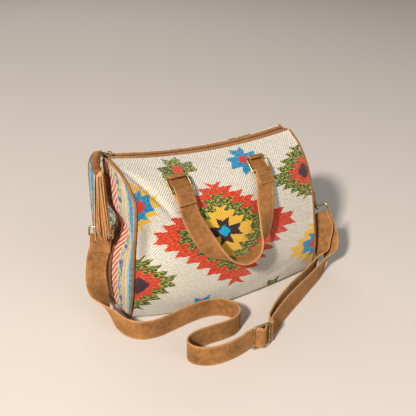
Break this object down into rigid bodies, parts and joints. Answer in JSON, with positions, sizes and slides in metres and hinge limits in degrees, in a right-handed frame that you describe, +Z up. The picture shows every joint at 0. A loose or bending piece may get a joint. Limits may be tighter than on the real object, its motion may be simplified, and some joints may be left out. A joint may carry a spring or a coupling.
{
  "type": "boston bag",
  "caption": "Soft boston bag in patterned woven cloth with tan suede handles on metal rings, a tasselled zip and a clip-on shoulder strap.",
  "frame": {"origin": "on the floor under the middle of the bag's base", "axes": "+Z up, +X along the bag to its right-hand end seen from the front, -Y out of its front"},
  "size_m": [0.4546, 0.4041, 0.2819],
  "materials": {
    "cloth": "woven kilim cloth, off-white with coloured stepped motifs",
    "gusset_cloth": "striped woven cloth in blue, white, yellow and orange",
    "suede": "napped tan suede",
    "dark_suede": "dark brown suede",
    "antique_brass": "rubbed antique brass",
    "zip_tape": "woven zip tape with a moulded coil",
    "board": "stiff lining board"
  },
  "bodies": {
    "bag": {"front_panel": "cloth", "back_panel": "cloth", "base_panel": "cloth", "base_board": "board", "gusset_left": "gusset_cloth", "gusset_right": "gusset_cloth", "piping_left": "suede", "piping_right": "suede", "zip_facing_front": "suede", "zip_facing_back": "suede", "zip_tape_front": "zip_tape", "zip_tape_back": "zip_tape", "gusset_strip_left": "dark_suede", "gusset_strip_right": "dark_suede", "shoulder_strap": "suede", "strap_slider": "antique_brass", "handle_tab_front_left": "suede", "handle_tab_front_right": "suede", "handle_tab_back_left": "suede", "handle_tab_back_right": "suede", "ring_tab_left": "suede", "d_ring_left": "antique_brass", "hook_left": "antique_brass", "strap_ring_left": "antique_brass", "ring_tab_right": "suede", "d_ring_right": "antique_brass", "hook_right": "antique_brass", "strap_ring_right": "antique_brass"},
    "zip_slider": {"zip_slider": "antique_brass"},
    "zip_puller": {"zip_puller": "antique_brass", "tassel_head": "suede", "tassel_fringe": "suede"},
    "front_handle": {"handle_front": "suede", "handle_ring_front_left": "antique_brass", "handle_ring_front_right": "antique_brass"},
    "back_handle": {"handle_back": "suede", "handle_ring_back_left": "antique_brass", "handle_ring_back_right": "antique_brass"},
    "left_gate": {"hook_gate_left": "antique_brass"},
    "right_gate": {"hook_gate_right": "antique_brass"}
  },
  "joints": [
    {"name": "zip_travel", "type": "hinge", "parent": "bag", "child": "zip_slider", "pos_m": [0.06267, 0, 1.33685], "axis": [0, -1, 0], "range_deg": [0, 17], "deforming": ["tassel_fringe", "tassel_head"]},
    {"name": "puller_swing", "type": "hinge", "parent": "zip_slider", "child": "zip_puller", "pos_m": [-0.16817, 0, 0.27426], "axis": [0, 1, 0], "range_deg": [0, 75]},
    {"name": "front_handle_swing", "type": "hinge", "parent": "bag", "child": "front_handle", "pos_m": [-0.088, -0.06948, 0.24202], "axis": [-0.9974, -0.0629, 0.0344], "range_deg": [0, 165]},
    {"name": "back_handle_swing", "type": "hinge", "parent": "bag", "child": "back_handle", "pos_m": [-0.08777, 0.0819, 0.219], "axis": [0.9984, -0.0503, -0.0266], "range_deg": [0, 165]},
    {"name": "left_gate_press", "type": "hinge", "parent": "bag", "child": "left_gate", "pos_m": [-0.19398, 0.002, 0.16918], "axis": [0, 1, 0], "range_deg": [0, 25], "stiffness_Nm_per_rad": 0.01, "springref_deg": -11.46},
    {"name": "right_gate_press", "type": "hinge", "parent": "bag", "child": "right_gate", "pos_m": [0.20895, -0.0636, 0.13237], "axis": [0, -0.866, 0.5], "range_deg": [0, 25], "stiffness_Nm_per_rad": 0.01, "springref_deg": -11.46}
  ]
}
